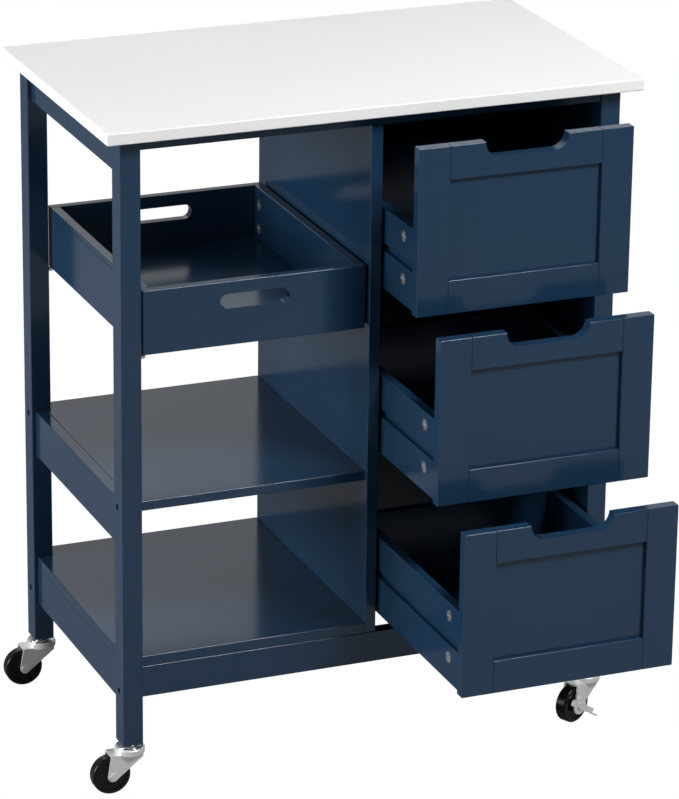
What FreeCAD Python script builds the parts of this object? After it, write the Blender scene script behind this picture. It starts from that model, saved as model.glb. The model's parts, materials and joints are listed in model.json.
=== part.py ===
import FreeCAD, Part
import os
from FreeCAD import Vector

# Rolling kitchen island cart. Millimetres, +X right, +Y to the back, +Z up, floor at z = 0.
# The origin is the bottom centre of the whole cart with its drawers drawn out.
os.makedirs("parts", exist_ok=True)

# --- overall ---
TOP_WIDTH = 700.0
TOP_DEPTH = 405.0
TOP_THICK = 15.0
TOTAL_HEIGHT = 870.0
UNDER_TOP = TOTAL_HEIGHT - TOP_THICK
EDGE_ROUND = 1.6
SMALL_ROUND = 1.0
CUT_OVER = 1.0

# --- legs ---
LEG_BOTTOM = 65.0
LEG_WIDTH = 26.0
LEG_DEPTH = 29.5
LEG_LEFT_X = -327.5
LEG_RIGHT_X = 302.3
LEG_FRONT_Y = 20.5
LEG_BACK_Y = 373.0
LEG_BACK_END = LEG_BACK_Y + LEG_DEPTH
LEG_FRONT_END = LEG_FRONT_Y + LEG_DEPTH

# --- rails ---
RAIL_THICK = 15.0
SIDE_RAIL_X = -322.0
TOP_RAIL_SIDE_BOTTOM = 805.4
TOP_RAIL_FRONT_BOTTOM = 839.2
FRONT_RAIL_Y = 23.0
FRONT_RAIL_THICK = 18.0
BASE_RAIL_TOP = 170.0
BASE_RAIL_SIDE_BOTTOM = 117.0
BASE_RAIL_FRONT_BOTTOM = 129.0
SHELF_RAIL_BOTTOM = 326.0

# --- panels and shelves ---
DIVIDER_X = -3.4
DIVIDER_THICK = 15.0
DIVIDER_FRONT_Y = 23.0
DIVIDER_RIGHT = DIVIDER_X + DIVIDER_THICK
SHELF_TOP = 387.0
SHELF_THICK = 12.5
SHELF_FRONT_Y = 31.6
BASE_SHELF_THICK = 14.0
SIDE_PANEL_X = 304.0
SIDE_PANEL_THICK = 12.0
BACK_PANEL_Y = 391.0
BACK_PANEL_THICK = 6.0
PANEL_GAP = 0.2

# --- drawers ---
FRONT_LEFT_X = 14.3
FRONT_RIGHT_X = 298.0
FRONT_THICK = 15.0
FRONT_HEIGHT = 213.0
FRONT_BOTTOMS = {"top": 624.5, "middle": 407.0, "bottom": 189.5}
FRONT_FACES = {"top": -81.5, "middle": -156.5, "bottom": -242.0}
STILE_WIDTH = 41.4
FRAME_RAIL_HEIGHT = 42.6
FIELD_THICK = 6.0
FIELD_RECESS = 6.0
NOTCH_HALF_WIDTH = 55.0
NOTCH_DEPTH = 19.0
NOTCH_ROUND = 18.5
SIDE_THICK = 12.0
SIDE_LEFT_X = 15.5
SIDE_RIGHT_X = 284.8
SIDE_LENGTH = 340.0
SIDE_BASE = 3.5
SIDE_HEIGHT = 104.0
DRAWER_FLOOR_Z = 12.0
DRAWER_FLOOR_THICK = 4.0
GROOVE_Z = 53.0
GROOVE_HEIGHT = 10.0
GROOVE_DEPTH = 5.0
RUNNER_HEIGHT = 9.0
RUNNER_INTO_GROOVE = 4.0
RUNNER_FRONT_Y = 46.0
RUNNER_BACK_Y = 385.0
CAM_RADIUS = 7.5
CAM_DEPTH = 8.0
CAM_FROM_FRONT = 30.5
CAM_HEIGHTS = (36.0, 90.5)
CAM_SLOT_WIDTH = 2.4
CAM_SLOT_DEPTH = 1.8
CAM_SLOT_REACH = 5.9
TRAY_CAM_INSET = 15.0
TRAY_CAM_HEIGHTS = (28.0, 59.0)

# --- tray ---
TRAY_LEFT_X = -297.0
TRAY_RIGHT_X = -7.0
TRAY_FRONT_Y = 27.4
TRAY_BACK_Y = 388.0
TRAY_BOTTOM = 578.0
TRAY_TOP = 660.0
TRAY_LIFT = 0.4
TRAY_WALL = 12.0
TRAY_FLOOR_THICK = 6.0
TRAY_FLOOR_Z = 586.0
TRAY_LINE_DROP = 6.5
TRAY_LINE_DEPTH = 0.8
HANDLE_X = -152.0
HANDLE_Z = 635.0
HANDLE_WIDTH = 91.0
HANDLE_HEIGHT = 19.0
PIN_RADIUS = 3.0
PIN_OUT = 9.0
PIN_IN = 12.0
PIN_CLEAR = 0.05
PIN_Z = TRAY_BOTTOM - PIN_RADIUS - PIN_CLEAR
DIVIDER_PIN_YS = (62.0, 358.0)

# --- casters ---
CASTER_XS = {"left": LEG_LEFT_X + LEG_WIDTH / 2, "right": LEG_RIGHT_X + LEG_WIDTH / 2}
CASTER_YS = {"front": LEG_FRONT_Y + LEG_DEPTH / 2, "back": LEG_BACK_Y + LEG_DEPTH / 2}
WHEEL_RADIUS = 25.0
WHEEL_WIDTH = 16.0
TYRE_ROUND = 3.0
DISH_RADIUS = 18.5
DISH_DEPTH = 1.0
HUB_RADIUS = 7.0
TRAIL = 26.0
AXLE_RADIUS = 3.0
AXLE_HEAD = 1.4
AXLE_HEAD_RADIUS = 5.0
NUT_RADIUS = 5.0
NUT_SIDES = 6
RUN_CLEAR = 0.05
PLATE_THICK = 2.5
PLATE_INNER = 9.6
PLATE_OUTER = PLATE_INNER + PLATE_THICK
PLATE_LEAN = 2.0
PLATE_REACH = 14.0
PLATE_LIP = 5.0
FOOT_RADIUS = 6.6
FOOT_ALONG = 0.8
FOOT_DOWN = 0.6
CUP_RADIUS = 19.0
CUP_ROUND = 2.5
CUP_BOTTOM = 50.5
CUP_TOP = 60.0
STEM_RADIUS = 5.0
STEM_TOP = 100.0
STEM_END_GAP = 2.0
STEM_RECESS = 1.0
COLLAR_RADIUS = 11.5
COLLAR_BOTTOM = 60.6
LEVER_THICK = 2.0
LEVER_GAP = 0.5
LEVER_TILT = 32.0
LEVER_DISC_RADIUS = 11.5
LEVER_HALF_HEIGHT = 4.0
LEVER_TAIL = 17.0
LEVER_REACH = 31.0
TAB_LENGTH = 9.0
TAB_WIDTH = 9.0
TURNED = {"front_right": 25.0}

# --- fastenings ---
BOLT_RADIUS = 4.0
BOLT_RECESS = 3.0
BOLT_DEPTH = 10.0
BOLT_CLEAR = 0.1
BOLT_SPOTS = (("front", 38.5, 381.5), ("back", 387.0, 381.5), ("front", 36.5, 136.0), ("back", 388.0, 136.0))

# The whole model is moved so that the origin is the bottom centre of its outer box.
DRAWER_REACH = FRONT_FACES["bottom"]
BACK_REACH = CASTER_YS["back"] + CUP_RADIUS
CASTER_REACH = CASTER_XS["left"] - TRAIL - WHEEL_RADIUS
SHIFT_X = -(CASTER_REACH + TOP_WIDTH / 2) / 2
SHIFT_Y = -(DRAWER_REACH + BACK_REACH) / 2


def box(x0, x1, y0, y1, z0, z1):
    return Part.makeBox(x1 - x0, y1 - y0, z1 - z0, Vector(x0, y0, z0))


def rounded(shape, radius):
    return shape.makeFillet(radius, shape.Edges)


def round_box(x0, x1, y0, y1, z0, z1, radius=SMALL_ROUND):
    return rounded(box(x0, x1, y0, y1, z0, z1), radius)


def rod_x(x0, x1, y, z, radius):
    return Part.makeCylinder(radius, x1 - x0, Vector(x0, y, z), Vector(1, 0, 0))


def rod_y(x, y0, y1, z, radius):
    return Part.makeCylinder(radius, y1 - y0, Vector(x, y0, z), Vector(0, 1, 0))


def rod_z(x, y, z0, z1, radius):
    return Part.makeCylinder(radius, z1 - z0, Vector(x, y, z0), Vector(0, 0, 1))


def cross_recess(x0, x1, y, z):
    half = CAM_SLOT_WIDTH / 2
    upright = box(x0, x1, y - half, y + half, z - CAM_SLOT_REACH, z + CAM_SLOT_REACH)
    across = box(x0, x1, y - CAM_SLOT_REACH, y + CAM_SLOT_REACH, z - half, z + half)
    return upright.fuse(across)


def save(name, solids):
    shape = solids[0] if len(solids) == 1 else Part.makeCompound(solids)
    shape = shape.copy()
    shape.translate(Vector(SHIFT_X, SHIFT_Y, 0))
    shape.exportStep("parts/" + name + ".step")


# --- worktop ---
half = TOP_WIDTH / 2
save("worktop", [round_box(-half, half, 0, TOP_DEPTH, UNDER_TOP, TOTAL_HEIGHT, EDGE_ROUND)])


# --- legs, each bored for its caster stem and its side bolts ---
def leg(x0, y0, side):
    body = round_box(x0, x0 + LEG_WIDTH, y0, y0 + LEG_DEPTH, LEG_BOTTOM, UNDER_TOP)
    stem_x = CASTER_XS[side]
    stem_y = y0 + LEG_DEPTH / 2
    body = body.cut(rod_z(stem_x, stem_y, LEG_BOTTOM - CUT_OVER, STEM_TOP + STEM_END_GAP, STEM_RADIUS + RUN_CLEAR))
    x1 = x0 + LEG_WIDTH
    hole_radius = BOLT_RADIUS + BOLT_CLEAR
    for row, bolt_y, bolt_z in BOLT_SPOTS:
        if (row == "front") == (y0 == LEG_FRONT_Y):
            if side == "left":
                hole = rod_x(x0 - CUT_OVER, x0 + BOLT_DEPTH, bolt_y, bolt_z, hole_radius)
            else:
                hole = rod_x(x1 - BOLT_DEPTH, x1 + CUT_OVER, bolt_y, bolt_z, hole_radius)
            body = body.cut(hole)
    if side == "left":
        body = body.cut(rod_x(x1 - PIN_IN, x1 + CUT_OVER, stem_y, PIN_Z, PIN_RADIUS + PIN_CLEAR))
    return body


for row, leg_y in (("front", LEG_FRONT_Y), ("back", LEG_BACK_Y)):
    save("leg_" + row + "_left", [leg(LEG_LEFT_X, leg_y, "left")])
    save("leg_" + row + "_right", [leg(LEG_RIGHT_X, leg_y, "right")])

bolts = []
for row, bolt_y, bolt_z in BOLT_SPOTS:
    left_end = LEG_LEFT_X + BOLT_RECESS
    right_end = LEG_RIGHT_X + LEG_WIDTH - BOLT_RECESS
    bolts.append(rod_x(left_end, LEG_LEFT_X + BOLT_DEPTH, bolt_y, bolt_z, BOLT_RADIUS))
    bolts.append(rod_x(LEG_RIGHT_X + LEG_WIDTH - BOLT_DEPTH, right_end, bolt_y, bolt_z, BOLT_RADIUS))
save("frame_bolts", bolts)

# --- rails under the worktop ---
inner_left = LEG_LEFT_X + LEG_WIDTH
side_rail_end = SIDE_RAIL_X + RAIL_THICK
save("top_rail_left", [round_box(SIDE_RAIL_X, side_rail_end, LEG_FRONT_END, LEG_BACK_Y,
                                 TOP_RAIL_SIDE_BOTTOM, UNDER_TOP)])
front_rail_end = FRONT_RAIL_Y + FRONT_RAIL_THICK
back_rail_start = LEG_BACK_END - FRONT_RAIL_THICK
save("top_rail_front", [round_box(inner_left, LEG_RIGHT_X, FRONT_RAIL_Y, front_rail_end,
                                  TOP_RAIL_FRONT_BOTTOM, UNDER_TOP)])
save("top_rail_back", [round_box(inner_left, DIVIDER_X, back_rail_start, LEG_BACK_END,
                                 TOP_RAIL_SIDE_BOTTOM, UNDER_TOP)])

# --- rails at the middle shelf and at the base ---
save("shelf_rail_left", [round_box(SIDE_RAIL_X, side_rail_end, LEG_FRONT_END, LEG_BACK_Y,
                                   SHELF_RAIL_BOTTOM, SHELF_TOP)])
save("base_rail_left", [round_box(SIDE_RAIL_X, side_rail_end, LEG_FRONT_END, LEG_BACK_Y,
                                  BASE_RAIL_SIDE_BOTTOM, BASE_RAIL_TOP)])
save("base_rail_front", [round_box(inner_left, LEG_RIGHT_X, FRONT_RAIL_Y, front_rail_end,
                                   BASE_RAIL_FRONT_BOTTOM, BASE_RAIL_TOP)])
save("base_rail_back", [round_box(inner_left, LEG_RIGHT_X, back_rail_start, LEG_BACK_END,
                                  BASE_RAIL_FRONT_BOTTOM, BASE_RAIL_TOP)])

# --- divider, side panel and back panel of the drawer bay ---
divider = round_box(DIVIDER_X, DIVIDER_RIGHT, DIVIDER_FRONT_Y, LEG_BACK_END, BASE_RAIL_TOP, UNDER_TOP)
divider = divider.cut(box(DIVIDER_X - CUT_OVER, DIVIDER_RIGHT + CUT_OVER, DIVIDER_FRONT_Y - CUT_OVER,
                          front_rail_end, TOP_RAIL_FRONT_BOTTOM, UNDER_TOP + CUT_OVER))
for pin_y in DIVIDER_PIN_YS:
    divider = divider.cut(rod_x(DIVIDER_X - CUT_OVER, DIVIDER_X + PIN_IN, pin_y, PIN_Z, PIN_RADIUS + PIN_CLEAR))
save("divider_panel", [divider])
save("side_panel_right", [round_box(SIDE_PANEL_X, SIDE_PANEL_X + SIDE_PANEL_THICK, LEG_FRONT_END, LEG_BACK_Y,
                                    BASE_RAIL_SIDE_BOTTOM, UNDER_TOP)])
save("back_panel", [box(DIVIDER_RIGHT + PANEL_GAP, LEG_RIGHT_X - PANEL_GAP, BACK_PANEL_Y,
                        BACK_PANEL_Y + BACK_PANEL_THICK, BASE_RAIL_TOP, UNDER_TOP)])


# --- shelves, cut out around the legs ---
def leg_cutouts(x0):
    cuts = []
    for leg_y in (LEG_FRONT_Y, LEG_BACK_Y):
        cuts.append(box(x0 - CUT_OVER, inner_left + PANEL_GAP, leg_y - CUT_OVER, leg_y + LEG_DEPTH + PANEL_GAP,
                        0, UNDER_TOP))
    return cuts


middle = round_box(side_rail_end, DIVIDER_X, SHELF_FRONT_Y, LEG_BACK_END, SHELF_TOP - SHELF_THICK, SHELF_TOP)
for cut in leg_cutouts(side_rail_end):
    middle = middle.cut(cut)
save("middle_shelf", [middle])
base = round_box(SIDE_RAIL_X, DIVIDER_X, FRONT_RAIL_Y, LEG_BACK_END, BASE_RAIL_TOP,
                 BASE_RAIL_TOP + BASE_SHELF_THICK)
for cut in leg_cutouts(SIDE_RAIL_X):
    base = base.cut(cut)
save("bottom_shelf", [base])

# --- tray rest pins ---
pins = []
for pin_y in CASTER_YS.values():
    pins.append(rod_x(inner_left - PIN_IN, inner_left + PIN_OUT, pin_y, PIN_Z, PIN_RADIUS))
for pin_y in DIVIDER_PIN_YS:
    pins.append(rod_x(DIVIDER_X - PIN_OUT, DIVIDER_X + PIN_IN, pin_y, PIN_Z, PIN_RADIUS))
save("tray_pins", pins)


# --- tray ---
def stadium_slot(y0, y1):
    radius = HANDLE_HEIGHT / 2
    half_run = HANDLE_WIDTH / 2 - radius
    slot = box(HANDLE_X - half_run, HANDLE_X + half_run, y0, y1, HANDLE_Z - radius, HANDLE_Z + radius)
    for side in (-1, 1):
        slot = slot.fuse(rod_y(HANDLE_X + side * half_run, y0, y1, HANDLE_Z, radius))
    return slot.removeSplitter()


tray_z0 = TRAY_BOTTOM + TRAY_LIFT
tray_z1 = TRAY_TOP + TRAY_LIFT
inner_x0 = TRAY_LEFT_X + TRAY_WALL
inner_x1 = TRAY_RIGHT_X - TRAY_WALL
for name, wall_y in (("front", TRAY_FRONT_Y), ("back", TRAY_BACK_Y - TRAY_WALL)):
    wall = round_box(TRAY_LEFT_X, TRAY_RIGHT_X, wall_y, wall_y + TRAY_WALL, tray_z0, tray_z1)
    save("tray_" + name, [wall.cut(stadium_slot(wall_y - CUT_OVER, wall_y + TRAY_WALL + CUT_OVER))])
wall_y0 = TRAY_FRONT_Y + TRAY_WALL
wall_y1 = TRAY_BACK_Y - TRAY_WALL
left_wall = round_box(TRAY_LEFT_X, inner_x0, wall_y0, wall_y1, tray_z0, tray_z1)
line_z = tray_z1 - TRAY_LINE_DROP
left_wall = left_wall.cut(box(TRAY_LEFT_X - CUT_OVER, TRAY_LEFT_X + TRAY_LINE_DEPTH, wall_y0 - CUT_OVER,
                              wall_y1 + CUT_OVER, line_z - TRAY_LINE_DEPTH, line_z))
save("tray_left", [left_wall])
right_wall = round_box(inner_x1, TRAY_RIGHT_X, wall_y0, wall_y1, tray_z0, tray_z1)
tray_cams = []
for cam_y in (wall_y0 + TRAY_CAM_INSET, wall_y1 - TRAY_CAM_INSET):
    for rise in TRAY_CAM_HEIGHTS:
        cam_z = tray_z0 + rise
        hole = rod_x(inner_x1 - CUT_OVER, inner_x1 + CAM_DEPTH, cam_y, cam_z, CAM_RADIUS + RUN_CLEAR)
        right_wall = right_wall.cut(hole)
        cam = rod_x(inner_x1, inner_x1 + CAM_DEPTH, cam_y, cam_z, CAM_RADIUS)
        recess = cross_recess(inner_x1 - CUT_OVER, inner_x1 + CAM_SLOT_DEPTH, cam_y, cam_z)
        tray_cams.append(cam.cut(recess))
save("tray_right", [right_wall])
save("tray_bottom", [box(inner_x0, inner_x1, wall_y0, wall_y1, TRAY_FLOOR_Z, TRAY_FLOOR_Z + TRAY_FLOOR_THICK)])
save("tray_cam_locks", tray_cams)


# --- drawers ---
def drawer_front(face_y, z0):
    z1 = z0 + FRONT_HEIGHT
    back_y = face_y + FRONT_THICK
    inner0 = FRONT_LEFT_X + STILE_WIDTH
    inner1 = FRONT_RIGHT_X - STILE_WIDTH
    stile_left = round_box(FRONT_LEFT_X, inner0, face_y, back_y, z0, z1)
    stile_right = round_box(inner1, FRONT_RIGHT_X, face_y, back_y, z0, z1)
    rail_low = round_box(inner0, inner1, face_y, back_y, z0, z0 + FRAME_RAIL_HEIGHT)
    rail_high = round_box(inner0, inner1, face_y, back_y, z1 - FRAME_RAIL_HEIGHT, z1)
    centre = (FRONT_LEFT_X + FRONT_RIGHT_X) / 2
    notch_z = z1 - NOTCH_DEPTH
    notch = box(centre - NOTCH_HALF_WIDTH, centre + NOTCH_HALF_WIDTH, face_y - CUT_OVER, back_y + CUT_OVER,
                notch_z, z1 + NOTCH_ROUND)
    low = [e for e in notch.Edges if e.BoundBox.ZMax < notch_z + CUT_OVER and e.BoundBox.XLength < CUT_OVER]
    notch = notch.makeFillet(NOTCH_ROUND, low)
    rail_high = rail_high.cut(notch)
    field_y = face_y + FIELD_RECESS
    field = box(inner0, inner1, field_y, field_y + FIELD_THICK, z0 + FRAME_RAIL_HEIGHT, z1 - FRAME_RAIL_HEIGHT)
    return [stile_left, stile_right, rail_low, rail_high, field]


def outer_span(x0, on_left, depth, over):
    """X range of a cut or fitting that sits in the outer face of a drawer side."""
    if on_left:
        return x0 - over, x0 + depth
    return x0 + SIDE_THICK - depth, x0 + SIDE_THICK + over


def drawer_side(x0, face_y, z0, on_left):
    y0 = face_y + FRONT_THICK
    side = round_box(x0, x0 + SIDE_THICK, y0, y0 + SIDE_LENGTH, z0 + SIDE_BASE, z0 + SIDE_BASE + SIDE_HEIGHT)
    groove_x0, groove_x1 = outer_span(x0, on_left, GROOVE_DEPTH, CUT_OVER)
    side = side.cut(box(groove_x0, groove_x1, y0 - CUT_OVER, y0 + SIDE_LENGTH + CUT_OVER, z0 + GROOVE_Z,
                        z0 + GROOVE_Z + GROOVE_HEIGHT))
    hole_x0, hole_x1 = outer_span(x0, on_left, CAM_DEPTH, CUT_OVER)
    cam_x0, cam_x1 = outer_span(x0, on_left, CAM_DEPTH, 0)
    slot_x0, slot_x1 = outer_span(x0, on_left, CAM_SLOT_DEPTH, CUT_OVER)
    cams = []
    cam_y = y0 + CAM_FROM_FRONT
    for rise in CAM_HEIGHTS:
        cam_z = z0 + rise
        side = side.cut(rod_x(hole_x0, hole_x1, cam_y, cam_z, CAM_RADIUS + RUN_CLEAR))
        cam = rod_x(cam_x0, cam_x1, cam_y, cam_z, CAM_RADIUS)
        cams.append(cam.cut(cross_recess(slot_x0, slot_x1, cam_y, cam_z)))
    return side, cams


for level in FRONT_BOTTOMS:
    z0 = FRONT_BOTTOMS[level]
    face_y = FRONT_FACES[level]
    box_y = face_y + FRONT_THICK
    end_y = box_y + SIDE_LENGTH
    save("drawer_" + level + "_front", drawer_front(face_y, z0))
    left_side, left_cams = drawer_side(SIDE_LEFT_X, face_y, z0, True)
    right_side, right_cams = drawer_side(SIDE_RIGHT_X, face_y, z0, False)
    save("drawer_" + level + "_side_left", [left_side])
    save("drawer_" + level + "_side_right", [right_side])
    inner_x = SIDE_LEFT_X + SIDE_THICK
    back_y = end_y - SIDE_THICK
    side_z = z0 + SIDE_BASE
    floor_z = z0 + DRAWER_FLOOR_Z
    save("drawer_" + level + "_back", [round_box(inner_x, SIDE_RIGHT_X, back_y, end_y, side_z, side_z + SIDE_HEIGHT)])
    save("drawer_" + level + "_bottom", [box(inner_x, SIDE_RIGHT_X, box_y, back_y, floor_z,
                                             floor_z + DRAWER_FLOOR_THICK)])
    save("drawer_" + level + "_cam_locks", left_cams + right_cams)

# --- runners on the divider and on the side panel ---
runners = []
for z0 in FRONT_BOTTOMS.values():
    runner_z = z0 + GROOVE_Z + (GROOVE_HEIGHT - RUNNER_HEIGHT) / 2
    runners.append(box(DIVIDER_RIGHT, SIDE_LEFT_X + RUNNER_INTO_GROOVE, RUNNER_FRONT_Y, RUNNER_BACK_Y,
                       runner_z, runner_z + RUNNER_HEIGHT))
    runners.append(box(SIDE_RIGHT_X + SIDE_THICK - RUNNER_INTO_GROOVE, SIDE_PANEL_X, LEG_FRONT_END, LEG_BACK_Y,
                       runner_z, runner_z + RUNNER_HEIGHT))
save("drawer_runners", runners)

# --- casters ---
stems = []
for stem_x in CASTER_XS.values():
    for stem_y in CASTER_YS.values():
        stem = rod_z(stem_x, stem_y, CUP_BOTTOM + STEM_RECESS, STEM_TOP, STEM_RADIUS)
        stems.append(stem.fuse(rod_z(stem_x, stem_y, COLLAR_BOTTOM, LEG_BOTTOM, COLLAR_RADIUS)).removeSplitter())
save("caster_stems", stems)


def fork_plate(cx, cy, y0):
    axle_x = cx - TRAIL
    top_z = CUP_BOTTOM + PLATE_THICK
    points = [
        Vector(axle_x - FOOT_RADIUS, y0, WHEEL_RADIUS),
        Vector(axle_x - PLATE_LEAN, y0, top_z),
        Vector(cx + PLATE_REACH, y0, top_z),
        Vector(cx + PLATE_REACH, y0, top_z - PLATE_LIP),
        Vector(axle_x + FOOT_RADIUS * FOOT_ALONG, y0, WHEEL_RADIUS - FOOT_RADIUS * FOOT_DOWN),
        Vector(axle_x - FOOT_RADIUS, y0, WHEEL_RADIUS),
    ]
    plate = Part.Face(Part.makePolygon(points)).extrude(Vector(0, PLATE_THICK, 0))
    return plate.fuse(rod_y(axle_x, y0, y0 + PLATE_THICK, WHEEL_RADIUS, FOOT_RADIUS)).removeSplitter()


def axle_bore(cx, cy):
    return rod_y(cx - TRAIL, cy - CUP_RADIUS, cy + CUP_RADIUS, WHEEL_RADIUS, AXLE_RADIUS + RUN_CLEAR)


def fork(cx, cy):
    cup = rod_z(cx, cy, CUP_BOTTOM, CUP_TOP, CUP_RADIUS)
    cup = cup.makeFillet(CUP_ROUND, [e for e in cup.Edges if len(e.Vertexes) == 1 and e.CenterOfMass.z > CUP_BOTTOM])
    bridge = box(cx - TRAIL - PLATE_LEAN, cx, cy - PLATE_OUTER, cy + PLATE_OUTER, CUP_BOTTOM, CUP_BOTTOM + PLATE_THICK)
    body = cup.fuse(bridge)
    body = body.fuse(fork_plate(cx, cy, cy - PLATE_OUTER))
    body = body.fuse(fork_plate(cx, cy, cy + PLATE_INNER))
    body = body.cut(rod_z(cx, cy, CUP_BOTTOM - CUT_OVER, CUP_TOP + CUT_OVER, STEM_RADIUS + RUN_CLEAR))
    return body.cut(axle_bore(cx, cy)).removeSplitter()


def axle(cx, cy, long_side):
    axle_x = cx - TRAIL
    reach = PLATE_OUTER + RUN_CLEAR
    front_reach = reach + (LEVER_THICK + 2 * LEVER_GAP if long_side else 0)
    bar = rod_y(axle_x, cy - front_reach - AXLE_HEAD, cy + reach + AXLE_HEAD, WHEEL_RADIUS, AXLE_RADIUS)
    bar = bar.fuse(rod_y(axle_x, cy + reach, cy + reach + AXLE_HEAD, WHEEL_RADIUS, AXLE_HEAD_RADIUS))
    nut_points = []
    for corner in range(NUT_SIDES + 1):
        turned = FreeCAD.Rotation(Vector(0, 1, 0), 360 / NUT_SIDES * corner).multVec(Vector(NUT_RADIUS, 0, 0))
        nut_points.append(Vector(axle_x, cy - front_reach - AXLE_HEAD, WHEEL_RADIUS) + turned)
    nut = Part.Face(Part.makePolygon(nut_points)).extrude(Vector(0, AXLE_HEAD, 0))
    return bar.fuse(nut).removeSplitter()


def wheel(cx, cy):
    axle_x = cx - TRAIL
    half_width = WHEEL_WIDTH / 2
    body = rod_y(axle_x, cy - half_width, cy + half_width, WHEEL_RADIUS, WHEEL_RADIUS)
    body = body.makeFillet(TYRE_ROUND, [e for e in body.Edges if len(e.Vertexes) == 1])
    for y0, y1 in ((cy - half_width - CUT_OVER, cy - half_width + DISH_DEPTH),
                   (cy + half_width - DISH_DEPTH, cy + half_width + CUT_OVER)):
        ring = rod_y(axle_x, y0, y1, WHEEL_RADIUS, DISH_RADIUS)
        body = body.cut(ring.cut(rod_y(axle_x, y0 - CUT_OVER, y1 + CUT_OVER, WHEEL_RADIUS, HUB_RADIUS)))
    return body.cut(axle_bore(cx, cy))


def brake_lever(cx, cy):
    axle_x = cx - TRAIL
    y1 = cy - PLATE_OUTER - LEVER_GAP
    y0 = y1 - LEVER_THICK
    disc = rod_y(axle_x, y0, y1, WHEEL_RADIUS, LEVER_DISC_RADIUS)
    low_z = WHEEL_RADIUS - LEVER_HALF_HEIGHT
    tip_x = axle_x + LEVER_REACH
    bar = box(axle_x - LEVER_TAIL, tip_x, y0, y1, low_z, WHEEL_RADIUS + LEVER_HALF_HEIGHT)
    tab = box(tip_x - TAB_LENGTH, tip_x, y0 - TAB_WIDTH, y1, low_z, low_z + LEVER_THICK)
    arm = bar.fuse(tab)
    arm.rotate(Vector(axle_x, cy, WHEEL_RADIUS), Vector(0, 1, 0), LEVER_TILT)
    return disc.fuse(arm).cut(axle_bore(cx, cy)).removeSplitter()


for row, stem_y in CASTER_YS.items():
    for side, stem_x in CASTER_XS.items():
        braked = side == "right"
        place = row + "_" + side
        made = {"caster_fork_": fork(stem_x, stem_y), "caster_axle_": axle(stem_x, stem_y, braked)}
        made["caster_wheel_"] = wheel(stem_x, stem_y)
        if braked:
            made["brake_lever_"] = brake_lever(stem_x, stem_y)
        for kind, shape in made.items():
            shape.rotate(Vector(stem_x, stem_y, 0), Vector(0, 0, 1), TURNED.get(place, 0.0))
            save(kind + place, [shape])
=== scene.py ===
import json

import bpy
from mathutils import Matrix, Vector


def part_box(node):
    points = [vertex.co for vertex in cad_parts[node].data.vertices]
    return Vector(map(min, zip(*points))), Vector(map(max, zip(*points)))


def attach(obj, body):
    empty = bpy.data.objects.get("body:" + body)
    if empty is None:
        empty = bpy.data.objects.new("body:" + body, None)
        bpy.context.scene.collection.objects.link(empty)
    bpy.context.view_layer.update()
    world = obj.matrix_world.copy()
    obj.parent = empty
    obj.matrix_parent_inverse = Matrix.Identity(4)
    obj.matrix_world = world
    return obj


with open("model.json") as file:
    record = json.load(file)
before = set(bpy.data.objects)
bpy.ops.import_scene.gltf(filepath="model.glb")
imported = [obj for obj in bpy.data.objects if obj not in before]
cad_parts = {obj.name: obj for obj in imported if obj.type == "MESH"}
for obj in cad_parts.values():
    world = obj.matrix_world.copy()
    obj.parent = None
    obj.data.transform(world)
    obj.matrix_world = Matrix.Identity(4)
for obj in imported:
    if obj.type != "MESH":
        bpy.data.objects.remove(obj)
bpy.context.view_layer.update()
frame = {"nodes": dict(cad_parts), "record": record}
nodes = frame["nodes"]

# ---------------------------------------------------------------- materials

# the part of a noise's values that is spread over a range
NOISE_LOW = 0.3
NOISE_HIGH = 0.7
# worn spots: noise scale, detail and roughness, and how much lighter than the surface they are
WEAR_NOISE = (38.0, 6.0, 0.7)
WEAR_LIGHTER = 1.5
# gloss changes over patches this many times smaller than the colour does
GLOSS_PATCHES = 6
FINE_DETAIL = 2.0
BUMP_DEPTH = 0.0004


def new_material(name):
    mat = bpy.data.materials.new(name)
    mat.use_nodes = True
    tree = mat.node_tree
    shader = next(n for n in tree.nodes if n.type == "BSDF_PRINCIPLED")
    return mat, tree, shader


def add(tree, kind, **values):
    """Adds a node; each value goes to the input of that name, or else to the node's own setting."""
    node = tree.nodes.new(kind)
    for key, value in values.items():
        if key in node.inputs:
            node.inputs[key].default_value = value
        else:
            setattr(node, key, value)
    return node


def noise(tree, coords, scale, detail=3.0, roughness=0.5):
    tex = add(tree, "ShaderNodeTexNoise", Scale=scale, Detail=detail, Roughness=roughness)
    tree.links.new(coords, tex.inputs["Vector"])
    return tex.outputs["Fac"]


def ramp(tree, fac, low, high, start=0.35, end=0.65):
    node = tree.nodes.new("ShaderNodeValToRGB")
    node.color_ramp.elements[0].position = start
    node.color_ramp.elements[1].position = end
    node.color_ramp.elements[0].color = (*low, 1)
    node.color_ramp.elements[1].color = (*high, 1)
    tree.links.new(fac, node.inputs["Fac"])
    return node.outputs["Color"]


def map_range(tree, value, from_min, from_max, to_min, to_max):
    node = add(tree, "ShaderNodeMapRange")
    node.inputs["From Min"].default_value = from_min
    node.inputs["From Max"].default_value = from_max
    node.inputs["To Min"].default_value = to_min
    node.inputs["To Max"].default_value = to_max
    tree.links.new(value, node.inputs["Value"])
    return node.outputs["Result"]


def spread(tree, fac, low, high):
    return map_range(tree, fac, NOISE_LOW, NOISE_HIGH, low, high)


def bump(tree, shader, height, strength):
    node = add(tree, "ShaderNodeBump", Strength=strength, Distance=BUMP_DEPTH)
    tree.links.new(height, node.inputs["Height"])
    tree.links.new(node.outputs["Normal"], shader.inputs["Normal"])


def scaled(tree, stretch):
    coords = tree.nodes.new("ShaderNodeTexCoord").outputs["Object"]
    mapping = add(tree, "ShaderNodeMapping")
    mapping.inputs["Scale"].default_value = stretch
    tree.links.new(coords, mapping.inputs["Vector"])
    return mapping.outputs["Vector"]


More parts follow.
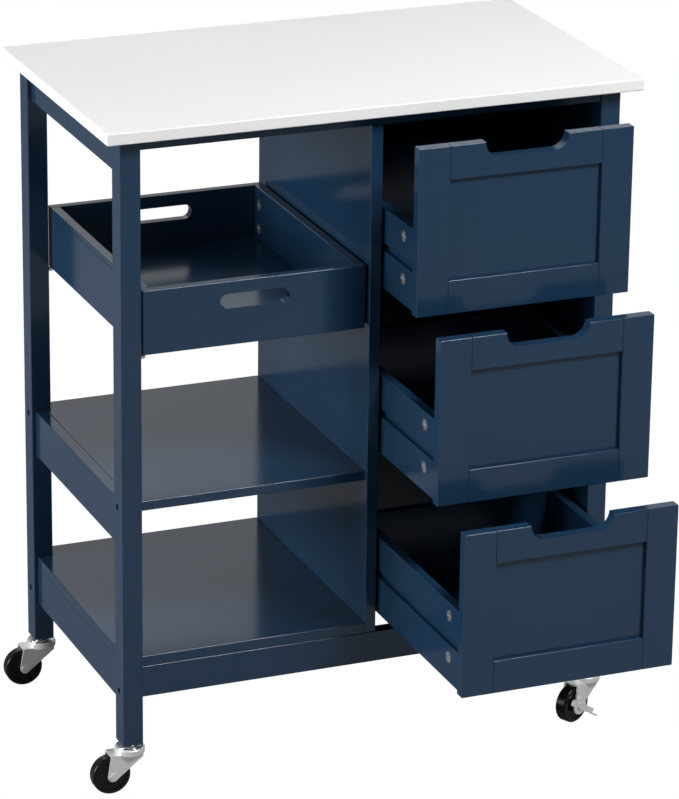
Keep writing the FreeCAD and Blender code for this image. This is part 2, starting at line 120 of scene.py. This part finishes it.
def tint(colour, factor):
    return tuple(min(1.0, c * factor) for c in colour)


def surface(name, colour, rough, vary=0.08, patch=5.0, grain=600.0, grain_bump=0.05, rough_vary=0.05,
            metallic=0.0, specular=0.5, stretch=(1, 1, 1), wear=0.0):
    """A material: the colour drifts in patches, the gloss in smaller ones, and the grain is a fine bump."""
    mat, tree, shader = new_material(name)
    coords = scaled(tree, stretch)
    cloudy = noise(tree, coords, patch)
    fine = noise(tree, coords, grain, FINE_DETAIL)
    base = ramp(tree, cloudy, tint(colour, 1 - vary), tint(colour, 1 + vary))
    if wear:
        worn = noise(tree, coords, *WEAR_NOISE)
        mask = spread(tree, worn, 0.0, wear)
        mix = add(tree, "ShaderNodeMix", data_type="RGBA")
        tree.links.new(mask, mix.inputs["Factor"])
        # 6 and 7 are the colour inputs A and B, and 2 is the colour result
        tree.links.new(base, mix.inputs[6])
        mix.inputs[7].default_value = (*tint(colour, WEAR_LIGHTER), 1)
        base = mix.outputs[2]
    tree.links.new(base, shader.inputs["Base Color"])
    gloss = noise(tree, coords, patch * GLOSS_PATCHES)
    tree.links.new(spread(tree, gloss, rough - rough_vary, rough + rough_vary), shader.inputs["Roughness"])
    shader.inputs["Metallic"].default_value = metallic
    shader.inputs["Specular IOR Level"].default_value = specular
    bump(tree, shader, fine, grain_bump)
    return mat


WHITE = (0.86, 0.86, 0.86)
NAVY = (0.0105, 0.036, 0.078)
NEAR_BLACK_BLUE = (0.008, 0.014, 0.022)
BOLT_BLACK = (0.012, 0.013, 0.016)
BRIGHT_ZINC = (0.88, 0.89, 0.90)
CHROME = (0.80, 0.81, 0.82)
SATIN_ZINC = (0.80, 0.81, 0.79)
RUBBER_BLACK = (0.003, 0.003, 0.0032)
PLAIN_WOOD = (0.20, 0.14, 0.09)

looks = {
    "worktop_white": surface("worktop_white", WHITE, rough=0.42, vary=0.012, patch=3.0, grain=900.0,
                             grain_bump=0.03, specular=0.4),
    "navy_paint": surface("navy_paint", NAVY, rough=0.15, vary=0.04, patch=4.0, grain=420.0,
                          grain_bump=0.006, rough_vary=0.01, specular=0.5),
    "board_dark": surface("board_dark", NEAR_BLACK_BLUE, rough=0.42, vary=0.06, grain=500.0, wear=0.04),
    "bolt_dark": surface("bolt_dark", BOLT_BLACK, rough=0.45, vary=0.1, patch=60.0, metallic=0.5),
    "cam_zinc": surface("cam_zinc", BRIGHT_ZINC, rough=0.14, vary=0.06, patch=80.0, grain=420.0,
                        grain_bump=0.45, metallic=0.9),
    "chrome": surface("chrome", CHROME, rough=0.10, vary=0.03, patch=60.0, grain=800.0, grain_bump=0.0,
                      rough_vary=0.02, metallic=1.0),
    "zinc": surface("zinc", SATIN_ZINC, rough=0.36, vary=0.02, patch=18.0, grain=500.0, grain_bump=0.003,
                    rough_vary=0.02, metallic=0.45),
    "wheel_black": surface("wheel_black", RUBBER_BLACK, rough=0.24, vary=0.12, patch=50.0, grain=500.0,
                           grain_bump=0.01, specular=0.3, wear=0.04),
    "runner_wood": surface("runner_wood", PLAIN_WOOD, rough=0.55, vary=0.25, patch=18.0, grain=300.0,
                           grain_bump=0.15, stretch=(8, 1, 8)),
}
slots = {part["node"]: part["material_slot"] for part in frame["record"]["subparts"]}
for node_name, thing in nodes.items():
    thing.data.materials.clear()
    thing.data.materials.append(looks[slots[node_name]])

# ---------------------------------------------------------------- bearing rings of the casters

RACE_RADIUS = 0.0158
RACE_THICK = 0.0013
RACE_Z = 0.0603
RACE_STEPS_ROUND = 64
RACE_STEPS_SECTION = 14


def ring(name, place, radius, thick, body, slot):
    bpy.ops.mesh.primitive_torus_add(location=place, major_radius=radius, minor_radius=thick,
                                     major_segments=RACE_STEPS_ROUND, minor_segments=RACE_STEPS_SECTION)
    thing = bpy.context.object
    thing.name = name
    bpy.ops.object.shade_smooth()
    thing.data.materials.append(looks[slot])
    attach(thing, body)


for row in ("front", "back"):
    for side in ("left", "right"):
        place = row + "_" + side
        low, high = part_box("leg_" + place)
        stem = ((low[0] + high[0]) / 2, (low[1] + high[1]) / 2)
        ring("caster_race_" + place, (*stem, RACE_Z), RACE_RADIUS, RACE_THICK, "swivel_" + place, "chrome")

# ---------------------------------------------------------------- stage

FLOOR_SIZE = 60
FLOOR_DROP = 0.0006
FLOOR_GREY = (0.32, 0.32, 0.32, 1)
FLOOR_ROUGH = 0.9
# the surroundings grow brighter towards this side, from the first strength to the second
BRIGHT_SIDE = (0.8, 1.0, 0.0)
BRIGHT_FROM = 0.4
BRIGHT_TO = 1.1
DIM_STRENGTH = 0.16
BRIGHT_STRENGTH = 0.60

bpy.ops.mesh.primitive_plane_add(size=FLOOR_SIZE, location=(0, 0, -FLOOR_DROP))
floor = bpy.context.object
floor.name = "floor"
mat, tree, shader = new_material("floor")
shader.inputs["Base Color"].default_value = FLOOR_GREY
shader.inputs["Roughness"].default_value = FLOOR_ROUGH
shader.inputs["Specular IOR Level"].default_value = 0.0
path = tree.nodes.new("ShaderNodeLightPath")
white = add(tree, "ShaderNodeEmission", Strength=1.0)
mix = tree.nodes.new("ShaderNodeMixShader")
tree.links.new(path.outputs["Is Camera Ray"], mix.inputs["Fac"])
tree.links.new(shader.outputs["BSDF"], mix.inputs[1])
tree.links.new(white.outputs["Emission"], mix.inputs[2])
out = next(n for n in tree.nodes if n.type == "OUTPUT_MATERIAL")
tree.links.new(mix.outputs["Shader"], out.inputs["Surface"])
floor.data.materials.append(mat)

world = bpy.data.worlds.new("studio")
bpy.context.scene.world = world
world.use_nodes = True
tree = world.node_tree
soft = tree.nodes["Background"]
toward = add(tree, "ShaderNodeVectorMath", operation="DOT_PRODUCT")
toward.inputs[1].default_value = BRIGHT_SIDE
tree.links.new(tree.nodes.new("ShaderNodeTexCoord").outputs["Generated"], toward.inputs[0])
strength = map_range(tree, toward.outputs["Value"], BRIGHT_FROM, BRIGHT_TO, DIM_STRENGTH, BRIGHT_STRENGTH)
tree.links.new(strength, soft.inputs["Strength"])
soft.inputs["Color"].default_value = (1, 1, 1, 1)
backdrop = add(tree, "ShaderNodeBackground", Strength=1.0)
path = tree.nodes.new("ShaderNodeLightPath")
mix = tree.nodes.new("ShaderNodeMixShader")
tree.links.new(path.outputs["Is Camera Ray"], mix.inputs["Fac"])
tree.links.new(soft.outputs["Background"], mix.inputs[1])
tree.links.new(backdrop.outputs["Background"], mix.inputs[2])
tree.links.new(mix.outputs["Shader"], tree.nodes["World Output"].inputs["Surface"])


def area(name, place, target, size, power):
    data = bpy.data.lights.new(name, "AREA")
    data.shape = "DISK"
    data.size = size
    data.energy = power
    lamp = bpy.data.objects.new(name, data)
    bpy.context.scene.collection.objects.link(lamp)
    lamp.location = place
    lamp.rotation_euler = (Vector(target) - Vector(place)).to_track_quat("-Z", "Y").to_euler()
    lamp.visible_camera = False


area("top", place=(-0.4, 0.2, 3.8), target=(0, 0, 0.8), size=2.4, power=2.5)
area("left", place=(-3.4, 0.2, 1.1), target=(0, 0, 0.5), size=1.7, power=108)
area("back", place=(0.2, 3.8, 3.2), target=(0, 0, 0.4), size=2.6, power=14)
area("front", place=(0.9, -1.9, 2.75), target=(0.1, 0, 0.70), size=1.0, power=84)

# ---------------------------------------------------------------- camera

CAMERA_PLACE = Vector((-1.8720429, -4.5294699, 2.2970657))
RIGHT = Vector((0.92648884, -0.37612985, 0.01203195))
UP = Vector((0.12126611, 0.32866620, 0.93662856))
AHEAD = Vector((0.35624845, 0.86631684, -0.35011737))
LENS = 188.104
SENSOR_WIDTH = 36
CLIP_END = 100

camera_data = bpy.data.cameras.new("camera")
camera = bpy.data.objects.new("camera", camera_data)
bpy.context.scene.collection.objects.link(camera)
camera_data.sensor_width = SENSOR_WIDTH
camera_data.lens = LENS
camera_data.clip_end = CLIP_END
turn = Matrix((RIGHT, UP, -AHEAD)).transposed().to_4x4()
camera.matrix_world = Matrix.Translation(CAMERA_PLACE) @ turn
bpy.context.scene.camera = camera
bpy.context.scene.view_settings.view_transform = "Standard"
